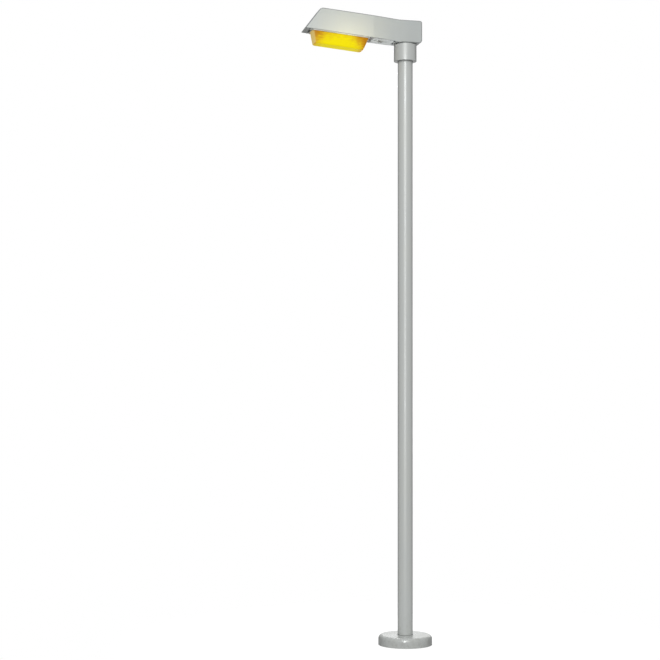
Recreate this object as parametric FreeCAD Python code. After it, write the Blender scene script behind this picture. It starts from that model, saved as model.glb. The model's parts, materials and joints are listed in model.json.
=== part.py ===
import FreeCAD, Part
import math
import os

# Street lamp post: a straight round steel column on a foot plate, with a round base cover,
# a flush service door, a round socket collar and a case-shaped luminaire whose front is
# tilted up. Millimetres, +Z up, origin at the centre of the foot plate's underside.
# The luminaire points along -X and the service door faces +Y.

V = FreeCAD.Vector

# ---------------------------------------------------------------- driving dimensions
POLE_R = 57.15            # outer radius of the column tube
POLE_WALL = 4.0
POLE_TOP = 4569.5         # upper end of the tube, inside the collar
FLANGE_R = 170.0
FLANGE_T = 16.0
ANCHOR_PCD = 270.0
ANCHOR_COUNT = 4
ANCHOR_HOLE_R = 12.0
CABLE_HOLE_R = 40.0
COVER_R = 204.5
COVER_H = 75.0
COVER_T = 2.5
COVER_EDGE_R = 30.0
COVER_BORE_R = 59.6
DOOR_Z0 = 500.0           # service door opening, bottom and top
DOOR_Z1 = 900.0
DOOR_HALF = 38.0          # half width of the opening across the tube
DOOR_CORNER = 16.0
DOOR_GAP = 1.2
HINGE_X = 42.65           # vertical hinge axis; set round the tube so the door lifts off its seal
HINGE_Y = 44.17
KNUCKLE_R = 4.0
LOCK_X = -18.0
LOCK_Z = 700.0
COLLAR_R = 86.8
COLLAR_Z0 = 4456.0
COLLAR_Z1 = 4584.5
COLLAR_BORE_R = 57.45
BOX_Z0 = 4591.0           # level rear box of the luminaire, underside and roof
BOX_Z1 = 4765.5
BOX_REAR_X = 120.0
BEND_X = -72.0
TILT = 5.9                # upward tilt of the front part, degrees
CASE_H = 173.0            # height of the tilted case, square to its rim
CASE_LEN = 730.0          # rim length from the bend to the front lip
FRONT_LEAN = 31.3         # the front face leans back from the rim's normal, degrees
CREASE_X = -270.0         # the sides run parallel in front of this and taper behind it
CASE_HALF = 90.0
REAR_HALF = 63.0
WALL = 3.0
CROWN_R = 42.0            # round corner between roof and front face
REAR_TOP_R = 17.0
REAR_LOW_R = 28.0
EDGE_R = 12.0             # round edges along the roof, front and rear
BRACKET_T = 6.0
GEAR_S0 = 34.0            # gear door, rear and front end along the rim
GEAR_S1 = 196.0
BAR_S1 = 222.0            # cross bar between gear door and bowl
BOWL_S0 = 227.0           # bowl opening along the rim
BOWL_S1 = 670.0
BOWL_HALF = 72.0
BOWL_DEPTH = 96.0
BOWL_DRAFTS = (18.0, 16.5, 6.0)     # wall slopes at the rear, the front and the sides, degrees
BOWL_CORNER = 34.0
BOWL_T = 3.0
BOWL_PIVOT_S = 684.0
BOWL_PIVOT_N = -1.0
GEAR_PIVOT_S = 29.0
GEAR_PIVOT_N = 1.5
KNOB_S = 125.0
BUTTON_S = 207.0          # turn button that holds the bowl's free end
LAMP_N = 50.0

COS_T = math.cos(math.radians(TILT))
SIN_T = math.sin(math.radians(TILT))
FORWARD = V(-COS_T, 0, SIN_T)     # along the rim of the tilted case
UPWARD = V(SIN_T, 0, COS_T)       # square to the rim
SIDE = V(0, 1, 0)


# ---------------------------------------------------------------- helpers
def save(shape, name):
    shape = shape.removeSplitter() if shape.ShapeType != "Compound" else shape
    shape.exportStep("parts/" + name + ".step")


def case_point(s, n, y=0.0):
    """A point of the tilted case: s along the rim from the bend, n square to the rim."""
    return V(BEND_X, y, BOX_Z0) + FORWARD * s + UPWARD * n


def cyl(r, h, base, axis=V(0, 0, 1)):
    return Part.makeCylinder(r, h, base, axis)


def ring(r_out, r_in, h, base, axis=V(0, 0, 1)):
    return cyl(r_out, h, base, axis).cut(cyl(r_in, h, base, axis))


def box(x0, x1, y0, y1, z0, z1):
    return Part.makeBox(x1 - x0, y1 - y0, z1 - z0, V(x0, y0, z0))


def group(shapes):
    return Part.makeCompound(shapes)


def arc_at(before, corner, after, radius):
    """Arc that rounds a corner: its start, middle and end points."""
    a = (before - corner).normalize()
    b = (after - corner).normalize()
    half = a.getAngle(b) / 2
    reach = radius / math.tan(half)
    inward = (a + b).normalize()
    centre = corner + inward * (radius / math.sin(half))
    return corner + a * reach, centre - inward * radius, corner + b * reach


def rounded_wire(points):
    """Closed outline from (point, corner radius) pairs; radius 0 leaves a sharp corner."""
    count = len(points)
    corners = []
    for i, (point, radius) in enumerate(points):
        if radius > 0:
            corners.append(arc_at(points[i - 1][0], point, points[(i + 1) % count][0], radius))
        else:
            corners.append((point,))
    edges = []
    for i, corner in enumerate(corners):
        if len(corner) == 3:
            edges.append(Part.Arc(*corner).toShape())
        following = corners[(i + 1) % count][0]
        edges.append(Part.LineSegment(corner[-1], following).toShape())
    return Part.Wire(edges)


def prism_y(points, y0, y1):
    """Closed outline in a plane y = const, pushed along Y."""
    wire = Part.makePolygon([V(p.x, y0, p.z) for p in points + points[:1]])
    return Part.Face(wire).extrude(V(0, y1 - y0, 0))


def case_box(s0, s1, y0, y1, n0, n1):
    corners = [case_point(s0, n0), case_point(s1, n0), case_point(s1, n1), case_point(s0, n1)]
    return prism_y(corners, y0, y1)


def case_cyl(r, n0, n1, s, y=0.0):
    """Round part standing square to the rim."""
    return cyl(r, n1 - n0, case_point(s, n0, y), UPWARD)


def rounded_outline(s0, s1, half, radius, n):
    """Rounded rectangle in the rim plane at height n, as a wire."""
    def at(s, y):
        return case_point(s, n, y)
    k = radius * (1 - math.sqrt(0.5))
    a, b = s0 + radius, s1 - radius
    c = half - radius
    edges = [
        Part.LineSegment(at(a, -half), at(b, -half)).toShape(),
        Part.Arc(at(b, -half), at(s1 - k, -half + k), at(s1, -c)).toShape(),
        Part.LineSegment(at(s1, -c), at(s1, c)).toShape(),
        Part.Arc(at(s1, c), at(s1 - k, half - k), at(b, half)).toShape(),
        Part.LineSegment(at(b, half), at(a, half)).toShape(),
        Part.Arc(at(a, half), at(s0 + k, half - k), at(s0, c)).toShape(),
        Part.LineSegment(at(s0, c), at(s0, -c)).toShape(),
        Part.Arc(at(s0, -c), at(s0 + k, -half + k), at(a, -half)).toShape(),
    ]
    return Part.Wire(edges)


def rounded_plate(s0, s1, half, radius, n0, n1):
    return Part.Face(rounded_outline(s0, s1, half, radius, n0)).extrude(UPWARD * (n1 - n0))


def tub(s0, s1, half, radius, drafts, n_top, n_bottom):
    """Drafted tub: rear, front and side walls lean in from n_top to n_bottom."""
    rear, front, side = [abs(n_top - n_bottom) * math.tan(math.radians(d)) for d in drafts]
    upper = rounded_outline(s0, s1, half, radius, n_top)
    lower = rounded_outline(s0 + rear, s1 - front, half - side, radius * 0.8, n_bottom)
    return Part.makeLoft([upper, lower], True, True)


def pipe(points, r):
    """Round cable through a list of points, with ball corners."""
    solid = None
    for a, b in zip(points, points[1:]):
        leg = cyl(r, (b - a).Length, a, b - a)
        solid = leg if solid is None else solid.fuse(leg)
    for p in points[1:-1]:
        solid = solid.fuse(Part.makeSphere(r, p))
    return solid


def polar(r, degrees, z):
    return V(r * math.cos(math.radians(degrees)), r * math.sin(math.radians(degrees)), z)


def hex_prism(across_flats, h, base, axis=V(0, 0, 1)):
    r = across_flats / math.sqrt(3)
    corners = [polar(r, 60 * i, 0) for i in range(7)]
    solid = Part.Face(Part.makePolygon(corners)).extrude(V(0, 0, h))
    solid.Placement = FreeCAD.Placement(base, FreeCAD.Rotation(V(0, 0, 1), axis))
    return solid


def pan_screw(head_r, head_h, shank_r, shank_l, base, axis):
    """Screw whose head underside is at base; the shank runs along axis."""
    head = cyl(head_r, head_h, base - axis * head_h, axis)
    socket = hex_prism(head_r * 0.9, head_h * 0.6, base - axis * head_h, axis)
    return head.cut(socket).fuse(cyl(shank_r, shank_l, base, axis))


# ---------------------------------------------------------------- foot
def anchor_points(z):
    step = 360.0 / ANCHOR_COUNT
    return [polar(ANCHOR_PCD / 2, 45 + step * i, z) for i in range(ANCHOR_COUNT)]


def make_base_flange():
    plate = cyl(FLANGE_R, FLANGE_T, V(0, 0, 0))
    plate = plate.cut(cyl(CABLE_HOLE_R, FLANGE_T, V(0, 0, 0)))
    for p in anchor_points(0):
        plate = plate.cut(cyl(ANCHOR_HOLE_R, FLANGE_T, p))
    return plate


def make_gussets():
    rib_t = 8.0
    rib_reach = 148.0
    rib_top = 47.0
    ribs = []
    for i in range(4):
        outline = [
            V(POLE_R + 0.05, 0, FLANGE_T),
            V(rib_reach, 0, FLANGE_T),
            V(rib_reach, 0, FLANGE_T + 6),
            V(POLE_R + 14, 0, rib_top),
            V(POLE_R + 0.05, 0, rib_top),
        ]
        rib = prism_y(outline, -rib_t / 2, rib_t / 2)
        rib = rib.cut(cyl(POLE_R, rib_top, V(0, 0, 0)))
        rib.rotate(V(0, 0, 0), V(0, 0, 1), 90.0 * i)
        ribs.append(rib)
    return group(ribs)


def revolve_profile(points):
    wire = Part.makePolygon([V(r, 0, z) for r, z in points + points[:1]])
    return Part.Face(wire).revolve(V(0, 0, 0), V(0, 0, 1), 360)


def make_base_cover():
    """Spun sheet cover with a rounded shoulder; its rim stands just clear of the ground."""
    rim = 0.6
    inner_r = COVER_R - COVER_T
    inner_top = COVER_H - COVER_T
    wire = rounded_wire([
        (V(COVER_R, 0, rim), 0),
        (V(COVER_R, 0, COVER_H), COVER_EDGE_R),
        (V(COVER_BORE_R, 0, COVER_H), 0),
        (V(COVER_BORE_R, 0, inner_top), 0),
        (V(inner_r, 0, inner_top), COVER_EDGE_R - COVER_T),
        (V(inner_r, 0, rim), 0),
    ])
    return Part.Face(wire).revolve(V(0, 0, 0), V(0, 0, 1), 360)


CLAMP_RING_H = 14.0
CLAMP_SCREW_Z = COVER_H - COVER_T - CLAMP_RING_H / 2
CLAMP_SCREW_ANGLES = (30.0, 150.0, 270.0)


def make_cover_ring():
    """Clamp ring under the cover, tapped for its grub screws."""
    body = ring(72.0, COVER_BORE_R, CLAMP_RING_H, V(0, 0, COVER_H - COVER_T - CLAMP_RING_H))
    for angle in CLAMP_SCREW_ANGLES:
        body = body.cut(cyl(3.0, 30.0, polar(50, angle, CLAMP_SCREW_Z), polar(1, angle, 0)))
    return body


def make_cover_screws():
    screws = []
    for angle in CLAMP_SCREW_ANGLES:
        out = polar(1, angle, 0)
        start = polar(57.5, angle, CLAMP_SCREW_Z)
        screw = cyl(2.9, 12.5, start, out)
        screw = screw.cut(hex_prism(3.0, 4.0, start + out * 8.5, out))
        screws.append(screw)
    return group(screws)


def make_cover_seal():
    return ring(COVER_BORE_R - 0.1, POLE_R + 0.25, 5.0, V(0, 0, COVER_H - 3.6))


# ---------------------------------------------------------------- column and service door
def door_prism(inset, y0=0.0, y1=80.0):
    """Rounded door outline pushed along Y; inset makes it smaller all round."""
    x = DOOR_HALF - inset
    z0 = DOOR_Z0 + inset
    z1 = DOOR_Z1 - inset
    r = max(DOOR_CORNER - inset, 2.0)
    solid = box(-x, x, y0, y1, z0, z1)
    edges = [e for e in solid.Edges if abs(e.tangentAt(e.FirstParameter).y) > 0.9]
    return solid.makeFillet(r, edges)


def make_pole_tube():
    tube = ring(POLE_R, POLE_R - POLE_WALL, POLE_TOP - FLANGE_T, V(0, 0, FLANGE_T))
    return tube.cut(door_prism(0.0))


def make_door():
    skin = ring(POLE_R, POLE_R - POLE_WALL, DOOR_Z1 - DOOR_Z0, V(0, 0, DOOR_Z0))
    door = skin.common(door_prism(DOOR_GAP))
    return door.cut(cyl(8.3, 60.0, V(LOCK_X, 20.0, LOCK_Z), V(0, 1, 0)))


def make_door_frame():
    """Curved reinforcing frame inside the opening, with a step for the gasket."""
    inner_r = 47.0
    step_r = 51.4
    reach = 46.0
    lip = 22.0
    skin = ring(POLE_R - POLE_WALL - 0.05, inner_r, DOOR_Z1 - DOOR_Z0 + 2 * lip, V(0, 0, DOOR_Z0 - lip))
    skin = skin.common(box(-reach, reach, 0, 80, DOOR_Z0 - lip, DOOR_Z1 + lip))
    skin = skin.cut(door_prism(7.0))
    step = ring(80.0, step_r, DOOR_Z1 - DOOR_Z0, V(0, 0, DOOR_Z0)).common(door_prism(0.0))
    return skin.cut(step)


def make_door_gasket():
    body = ring(POLE_R - POLE_WALL - 0.15, 51.5, DOOR_Z1 - DOOR_Z0, V(0, 0, DOOR_Z0))
    return body.common(door_prism(DOOR_GAP)).cut(door_prism(6.4))


HINGE_HEIGHTS = (560.0, 804.0)
KNUCKLE_H = 12.0


def knuckle(z0, h):
    return ring(KNUCKLE_R, 1.9, h, V(HINGE_X, HINGE_Y, z0))


def leaf(start, end, z0, h):
    """Curved hinge leaf lying on the tube between two plan angles."""
    skin = ring(POLE_R + 2.0, POLE_R + 0.02, h, V(0, 0, z0))
    wedge = Part.Face(Part.makePolygon([
        V(0, 0, z0),
        polar(90, start, z0),
        polar(90, end, z0),
        V(0, 0, z0),
    ])).extrude(V(0, 0, h))
    return skin.common(wedge)


def make_hinge_fixed():
    parts = []
    angle = math.degrees(math.atan2(HINGE_Y, HINGE_X))
    for z in HINGE_HEIGHTS:
        for lift in (0.0, 2 * KNUCKLE_H):
            body = knuckle(z + lift, KNUCKLE_H).fuse(leaf(angle - 17, angle - 1.5, z + lift, KNUCKLE_H))
            parts.append(body.cut(cyl(1.9, KNUCKLE_H, V(HINGE_X, HINGE_Y, z + lift))))
    return group(parts)


def make_hinge_door():
    parts = []
    angle = math.degrees(math.atan2(HINGE_Y, HINGE_X))
    for z in HINGE_HEIGHTS:
        z1 = z + KNUCKLE_H + 0.3
        h = KNUCKLE_H - 0.6
        body = knuckle(z1, h).fuse(leaf(angle + 1.5, angle + 17, z1, h))
        parts.append(body.cut(cyl(1.9, h, V(HINGE_X, HINGE_Y, z1))))
    return group(parts)


def make_hinge_pins():
    pins = []
    for z in HINGE_HEIGHTS:
        pin = cyl(1.8, 3 * KNUCKLE_H + 3, V(HINGE_X, HINGE_Y, z - 1.5))
        cap = cyl(3.2, 1.4, V(HINGE_X, HINGE_Y, z + 3 * KNUCKLE_H + 0.1))
        pins.append(pin.fuse(cap))
    return group(pins)


def make_lock_housing():
    axis = V(0, 1, 0)
    barrel = ring(8.0, 5.0, 20.5, V(LOCK_X, 30.0, LOCK_Z), axis)
    nut = ring(11.0, 5.0, 5.0, V(LOCK_X, 38.0, LOCK_Z), axis)
    return barrel.fuse(nut)


def make_lock_core():
    """Turning core with a triangular head outside and the cam inside."""
    axis = V(0, 1, 0)
    core = cyl(4.8, 25.0, V(LOCK_X, 23.5, LOCK_Z), axis)
    corners = [polar(4.4, 90 + 120 * i, 0) for i in range(4)]
    head = Part.Face(Part.makePolygon([V(LOCK_X + p.x, 48.5, LOCK_Z + p.y) for p in corners]))
    core = core.fuse(head.extrude(V(0, 2.0, 0)))
    cam = box(LOCK_X - 5, LOCK_X + 5, 24.0, 27.0, LOCK_Z - 6, LOCK_Z + 19.5)
    return core.fuse(cam)


# ---------------------------------------------------------------- inside the column
BOARD_Y = -10.0
BOARD_T = 3.0
FACE_Y = BOARD_Y + BOARD_T


def make_equipment_board():
    board = box(-36, 36, BOARD_Y, FACE_Y, 520, 880)
    for z in (535, 700, 865):
        board = board.cut(cyl(3.2, 10, V(0, BOARD_Y - 2, z), V(0, 1, 0)))
    return board


def make_board_brackets():
    inside = cyl(POLE_R - POLE_WALL - 0.02, 1000, V(0, 0, 200))
    parts = []
    for z in (580, 820):
        block = box(-6, 6, -60, BOARD_Y, z - 8, z + 8).common(inside)
        parts.append(block.cut(box(-3, 3, -48, BOARD_Y - 4, z - 8, z + 8)))
    return group(parts)


def make_fuse_base():
    body = box(-26, 26, FACE_Y, 14, 760, 850)
    body = body.cut(box(-23, 23, FACE_Y + 3, 14, 763, 847))
    return body.cut(cyl(7, 12, V(0, 0, 758), V(0, 0, 1)))


def make_fuse_carrier():
    """Pull-out carrier with a grip and two contact blades."""
    body = box(-18, 18, -1, 15, 782, 828)
    body = body.cut(cyl(6.2, 60, V(0, 5, 775), V(0, 0, 1)).common(box(-18, 18, -1, 15, 786, 824)))
    grip = box(-5, 5, 15, 24, 792, 818)
    blades = box(-12, -9, -3.5, -1, 788, 822).fuse(box(9, 12, -3.5, -1, 788, 822))
    return body.fuse(grip).fuse(blades)


def make_fuse_link():
    return cyl(5.8, 37.0, V(0, 5, 786.5))


def make_terminal_block():
    body = box(-25, 25, FACE_Y, 10, 560, 620)
    for i in range(4):
        x = -18 + 12 * i
        body = body.cut(cyl(3.4, 12, V(x, 2, 604), V(0, 1, 0)))
        body = body.cut(cyl(3.4, 12, V(x, 2, 576), V(0, 1, 0)))
    return body


def make_terminal_screws():
    screws = []
    for i in range(4):
        x = -18 + 12 * i
        for z in (604, 576):
            screw = cyl(3.0, 4.0, V(x, 2.5, z), V(0, 1, 0))
            screws.append(screw.cut(box(x - 3, x + 3, 5.6, 7, z - 0.5, z + 0.5)))
    return group(screws)


def make_earth_stud():
    start = V(0, FACE_Y, 665)
    stud = cyl(4.0, 24.0, start, V(0, 1, 0))
    for lift in (0.0, 9.0):
        stud = stud.fuse(hex_prism(13.0, 6.0, start + V(0, lift, 0), V(0, 1, 0)))
    return stud


def make_supply_cable():
    return pipe([V(0, 0, 0), V(0, 0, 300), V(0, 26, 420), V(0, 26, 515), V(0, 4, 549)], 8.0)


def make_riser_cable():
    top = V(0, 0, POLE_TOP - 15)
    return pipe([V(31, 2, 600), V(44, 2, 650), V(44, -14, 900), V(0, 0, 1100), top], 5.0)


# ---------------------------------------------------------------- collar
SCREW_ANGLES = (60.0, 120.0)
SCREW_HEIGHTS = (COLLAR_Z0 + 32, COLLAR_Z0 + 86)
NECK_SCREW_R = 62.0       # radius of the screw circle on the collar's neck
INLET_R = 42.0            # cable inlet through the luminaire floor


def neck_screw_points(z):
    """Four screws on the collar's neck ring, between the case's axes."""
    return [polar(NECK_SCREW_R, 45 + 90 * i, z) for i in range(4)]


def make_collar():
    """Cast socket: outer wall, inner sleeve and floor, open upward into the luminaire."""
    shell = 7.0
    sleeve = 66.0
    floor = 9.0
    neck = 68.0
    neck_bore = 56.0
    profile = [
        (COLLAR_BORE_R, COLLAR_Z0 + 3),
        (COLLAR_BORE_R + 3, COLLAR_Z0),
        (COLLAR_R - 2, COLLAR_Z0),
        (COLLAR_R, COLLAR_Z0 + 2),
        (COLLAR_R, COLLAR_Z1 - 2),
        (COLLAR_R - 2, COLLAR_Z1),
        (neck, COLLAR_Z1),
        (neck, BOX_Z0),
        (neck_bore, BOX_Z0),
        (neck_bore, COLLAR_Z1 - 8),
        (COLLAR_R - shell, COLLAR_Z1 - 16),
        (COLLAR_R - shell, COLLAR_Z0 + floor),
        (sleeve, COLLAR_Z0 + floor),
        (sleeve, POLE_TOP),
        (COLLAR_BORE_R, POLE_TOP),
    ]
    body = revolve_profile(profile)
    for z in SCREW_HEIGHTS:
        for a in SCREW_ANGLES:
            boss = cyl(11.0, 26.0, polar(58.5, a, z), polar(1, a, 0))
            body = body.fuse(boss.cut(cyl(COLLAR_BORE_R, 300, V(0, 0, COLLAR_Z0 - 50))))
    for z in SCREW_HEIGHTS:
        for a in SCREW_ANGLES:
            body = body.cut(cyl(5.2, 60.0, polar(40, a, z), polar(1, a, 0)))
    for p in neck_screw_points(BOX_Z0 - 13):
        body = body.cut(cyl(2.6, 16.0, p))
    return body


def make_set_screws():
    screws = []
    for z in SCREW_HEIGHTS:
        for a in SCREW_ANGLES:
            out = polar(1, a, 0)
            start = polar(57.4, a, z)
            screw = cyl(5.0, 27.0, start, out)
            screws.append(screw.cut(hex_prism(5.0, 6.0, start + out * 21.0, out)))
    return group(screws)


def make_collar_screws():
    """Four screws through the luminaire floor into the collar's neck."""
    points = neck_screw_points(BOX_Z0 + WALL + BRACKET_T)
    return group([pan_screw(4.6, 3.5, 2.5, 15.0, p, V(0, 0, -1)) for p in points])


# ---------------------------------------------------------------- luminaire case
def side_wire(inset):
    """Side view of the closed case, moved inward by inset."""
    lean = math.tan(math.radians(FRONT_LEAN))
    slant = inset / math.cos(math.radians(FRONT_LEAN))
    top = CASE_H - inset
    foot = case_point(CASE_LEN - slant - lean * inset, inset)
    crown = case_point(CASE_LEN - slant - lean * top, top)
    roof_bend = V(BEND_X + SIN_T * top / 2, 0, BOX_Z1 - inset)
    rear_top = V(BOX_REAR_X - inset, 0, BOX_Z1 - inset)
    rear_low = V(BOX_REAR_X - inset, 0, BOX_Z0 + inset)
    floor_bend = V(BEND_X, 0, BOX_Z0 + inset)
    return rounded_wire([
        (foot, 0),
        (crown, CROWN_R - inset),
        (roof_bend, 0),
        (rear_top, REAR_TOP_R - inset),
        (rear_low, REAR_LOW_R - inset),
        (floor_bend, 0),
    ])


def plan_prism(inset):
    """Plan view of the case as a tall block: parallel sides, then a taper to the rear."""
    rear = BOX_REAR_X + 1.0
    front = -850.0
    low = 4500.0
    rise = 450.0
    outline = [
        V(rear, case_half(rear, inset), low),
        V(CREASE_X, case_half(CREASE_X, inset), low),
        V(front, case_half(front, inset), low),
    ]
    outline += [V(p.x, -p.y, p.z) for p in outline[::-1]]
    return Part.Face(Part.makePolygon(outline + outline[:1])).extrude(V(0, 0, rise))


def case_half(x, inset):
    """Half width of the case at a station x."""
    taper = (CASE_HALF - REAR_HALF) / (BOX_REAR_X - CREASE_X)
    return CASE_HALF - max(0.0, x - CREASE_X) * taper - inset


def roof_edges(solid, inset):
    """Edges where the case's sides meet its roof, its front face and its rear wall."""
    found = []
    for edge in solid.Edges:
        middle = edge.valueAt((edge.FirstParameter + edge.LastParameter) / 2)
        ends = [v.Point for v in edge.Vertexes]
        span = ends[-1] - ends[0]
        on_side = abs(abs(middle.y) - case_half(middle.x, inset)) < 0.5 and abs(span.y) < 20
        crease = abs(span.z) > 100 and abs(span.x) < 20 and middle.x < 100
        high = middle.z > BOX_Z0 + 123
        at_front = middle.x < -640 and middle.z > BOX_Z0 + 93
        if on_side and not crease and (high or at_front or middle.x > 100):
            found.append(edge)
    return found


def case_solid(inset):
    """The closed case, moved inward by inset, with its roof edges rounded."""
    blank = Part.Face(side_wire(inset)).extrude(V(0, 300, 0))
    blank.translate(V(0, -150, 0))
    solid = blank.common(plan_prism(inset))
    return solid.makeFillet(EDGE_R - inset, roof_edges(solid, inset))


def make_canopy():
    shell = case_solid(0.0).cut(case_solid(WALL))
    opening = case_box(GEAR_S0 - 10, BOWL_PIVOT_S + 8, -150, 150, -20, WALL + 0.5)
    opening = opening.common(plan_prism(WALL))
    shell = shell.cut(opening)
    shell = shell.cut(cyl(40.0, 30, V(0, 0, BOX_Z0 - 5)))
    for p in neck_screw_points(BOX_Z0 - 5):
        shell = shell.cut(cyl(2.8, 30, p))
    return shell


def make_mounting_bracket():
    """Reinforcing casting on the floor of the rear box, over the collar's neck."""
    z0 = BOX_Z0 + WALL
    rib_y = 53.0
    rib_t = 4.0
    seat = 0.3
    body = cyl(84.0, BRACKET_T, V(0, 0, z0))
    for side in (-1, 1):
        middle = side * (rib_y + rib_t / 2)
        body = body.fuse(box(-58, 56, middle - rib_t / 2, middle + rib_t / 2, z0, z0 + 26))
    body = body.common(case_solid(WALL + seat)).fuse(cyl(56.0, seat, V(0, 0, z0)))
    body = body.cut(cyl(INLET_R, BRACKET_T, V(0, 0, z0)))
    for p in neck_screw_points(z0):
        body = body.cut(cyl(2.8, 30, p))
    return body


def make_cross_bar():
    """Bar between the gear door and the bowl, that stiffens the case."""
    half = CASE_HALF - WALL - 0.5
    bar = case_box(GEAR_S1 + 2.5, BAR_S1 - 3, -half, half, 0.5, 4.0)
    web = case_box(BAR_S1 - 9, BAR_S1 - 5, -half, half, 4.0, 26.0)
    return bar.fuse(web).common(plan_prism(WALL)).cut(case_cyl(3.1, -5.0, 10.0, BUTTON_S))


def make_seal_frame():
    """Inner frame that the bowl's gasket presses on and the reflector hangs from."""
    outer = rounded_plate(BAR_S1 - 1, BOWL_PIVOT_S - 5, CASE_HALF - WALL - 0.5, 20, 11.5, 14.0)
    return outer.cut(rounded_plate(BOWL_S0 + 9, BOWL_S1 - 9, BOWL_HALF - 8, 28, 11.5, 14.0))


def make_reflector():
    """Deep drafted dish above the bowl with a hole for the lamp holder."""
    n0 = 14.2
    depth = 100.0
    drafts = (20.0, 20.0, 20.0)
    wall = 1.6
    rear, front, half = BOWL_S0 + 6, BOWL_S1 - 6, BOWL_HALF - 5
    outer = tub(rear, front, half, 26, drafts, n0, n0 + depth)
    inner = tub(rear + wall, front - wall, half - wall, 25, drafts, n0, n0 + depth - wall)
    lip = rounded_plate(BOWL_S0 + 1, BOWL_S1 - 1, BOWL_HALF, 30, n0, n0 + 1.6)
    lip = lip.cut(rounded_plate(BOWL_S0 + 7.6, BOWL_S1 - 7.6, BOWL_HALF - 6.6, 25, n0, n0 + 1.6))
    dish = outer.cut(inner).fuse(lip)
    return dish.cut(cyl(25.0, 80.0, case_point(BOWL_S0 - 20, LAMP_N), FORWARD))


def make_lamp_holder():
    start = case_point(BAR_S1 - 1.9, LAMP_N)
    body = cyl(20.0, 50.0, start, FORWARD)
    body = body.cut(cyl(14.2, 44.0, start + FORWARD * 6.0, FORWARD))
    return body.fuse(cyl(24.0, 5.0, start, FORWARD).cut(cyl(14.2, 5.0, start + FORWARD * 5.9, FORWARD)))


def make_holder_bracket():
    """Bent plate that carries the lamp holder from the cross bar's web."""
    half = 30.0
    plate = case_box(BAR_S1 - 5, BAR_S1 - 2, -half, half, 18.0, 82.0)
    return plate.fuse(case_box(BAR_S1 - 15, BAR_S1 - 5, -half, half, 79.0, 82.0))


def make_lamp():
    cap_start = case_point(233.0, LAMP_N)
    lamp = cyl(13.0, 39.0, cap_start, FORWARD)
    neck = case_point(272.0, LAMP_N)
    lamp = lamp.fuse(Part.makeCone(13.0, 22.0, 18.0, neck, FORWARD))
    lamp = lamp.fuse(cyl(22.0, 165.0, neck + FORWARD * 18.0, FORWARD))
    return lamp.fuse(Part.makeSphere(22.0, neck + FORWARD * 183.0))


# ---------------------------------------------------------------- control gear
TRAY_N = 96.0


def make_gear_tray():
    half = 69.0
    plate = case_box(30, 200, -half, half, TRAY_N, TRAY_N + 2)
    tray = plate.fuse(case_box(30, 32, -half, half, TRAY_N - 12, TRAY_N))
    return tray.fuse(case_box(198, 200, -half, half, TRAY_N - 12, TRAY_N))


def make_tray_posts():
    """Four posts that hang the gear tray from the roof."""
    posts = []
    for s in (50, 180):
        for y in (-61, 61):
            posts.append(case_cyl(5.0, TRAY_N + 2, CASE_H - WALL - 0.2, s, y))
    return group(posts)


def make_ballast():
    core = case_box(70, 160, -26, 26, TRAY_N - 56, TRAY_N - 0.2)
    coil = case_box(60, 170, -19, 19, TRAY_N - 47, TRAY_N - 10)
    feet = case_box(64, 166, -31, 31, TRAY_N - 2.6, TRAY_N - 0.2)
    return core.fuse(coil).fuse(feet)


def make_capacitor():
    start = case_point(60, TRAY_N - 20, 49)
    body = cyl(15.0, 96.0, start, FORWARD)
    body = body.fuse(cyl(17.0, 6.0, start, FORWARD))
    return body.fuse(cyl(4.0, 104.0, start, FORWARD))


def make_ignitor():
    body = case_box(96, 156, -65, -36, TRAY_N - 34, TRAY_N - 0.2)
    return body.fuse(case_box(90, 162, -57, -43, TRAY_N - 3, TRAY_N - 0.2))


def make_head_terminal():
    body = case_box(44, 84, -65, -39, TRAY_N - 24, TRAY_N - 0.2)
    for s in (52, 64, 76):
        body = body.cut(case_cyl(3.0, TRAY_N - 30, TRAY_N - 14, s, -52))
    return body


def make_head_wiring():
    inlet = pipe([
        V(0, 0, POLE_TOP + 8),
        V(0, 0, BOX_Z0 + 32),
        V(-60, -34, BOX_Z0 + 52),
        case_point(37, TRAY_N - 22, -52),
    ], 4.5)
    lamp_run = pipe([
        case_point(166, TRAY_N - 18, -50),
        case_point(190, TRAY_N - 26, -44),
        case_point(209, TRAY_N - 26, -36),
    ], 3.0)
    return group([inlet, lamp_run])


# ---------------------------------------------------------------- gear door and its catch
def gear_panel(n0, n1, gap):
    corners = []
    for s in (GEAR_S0, GEAR_S1):
        half = case_half(case_point(s, 0).x, WALL + gap)
        corners.append((s, half))
    (s0, h0), (s1, h1) = corners
    outline = [
        case_point(s0, n0, -h0),
        case_point(s1, n0, -h1),
        case_point(s1, n0, h1),
        case_point(s0, n0, h0),
    ]
    return Part.Face(Part.makePolygon(outline + outline[:1])).extrude(UPWARD * (n1 - n0))


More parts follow.
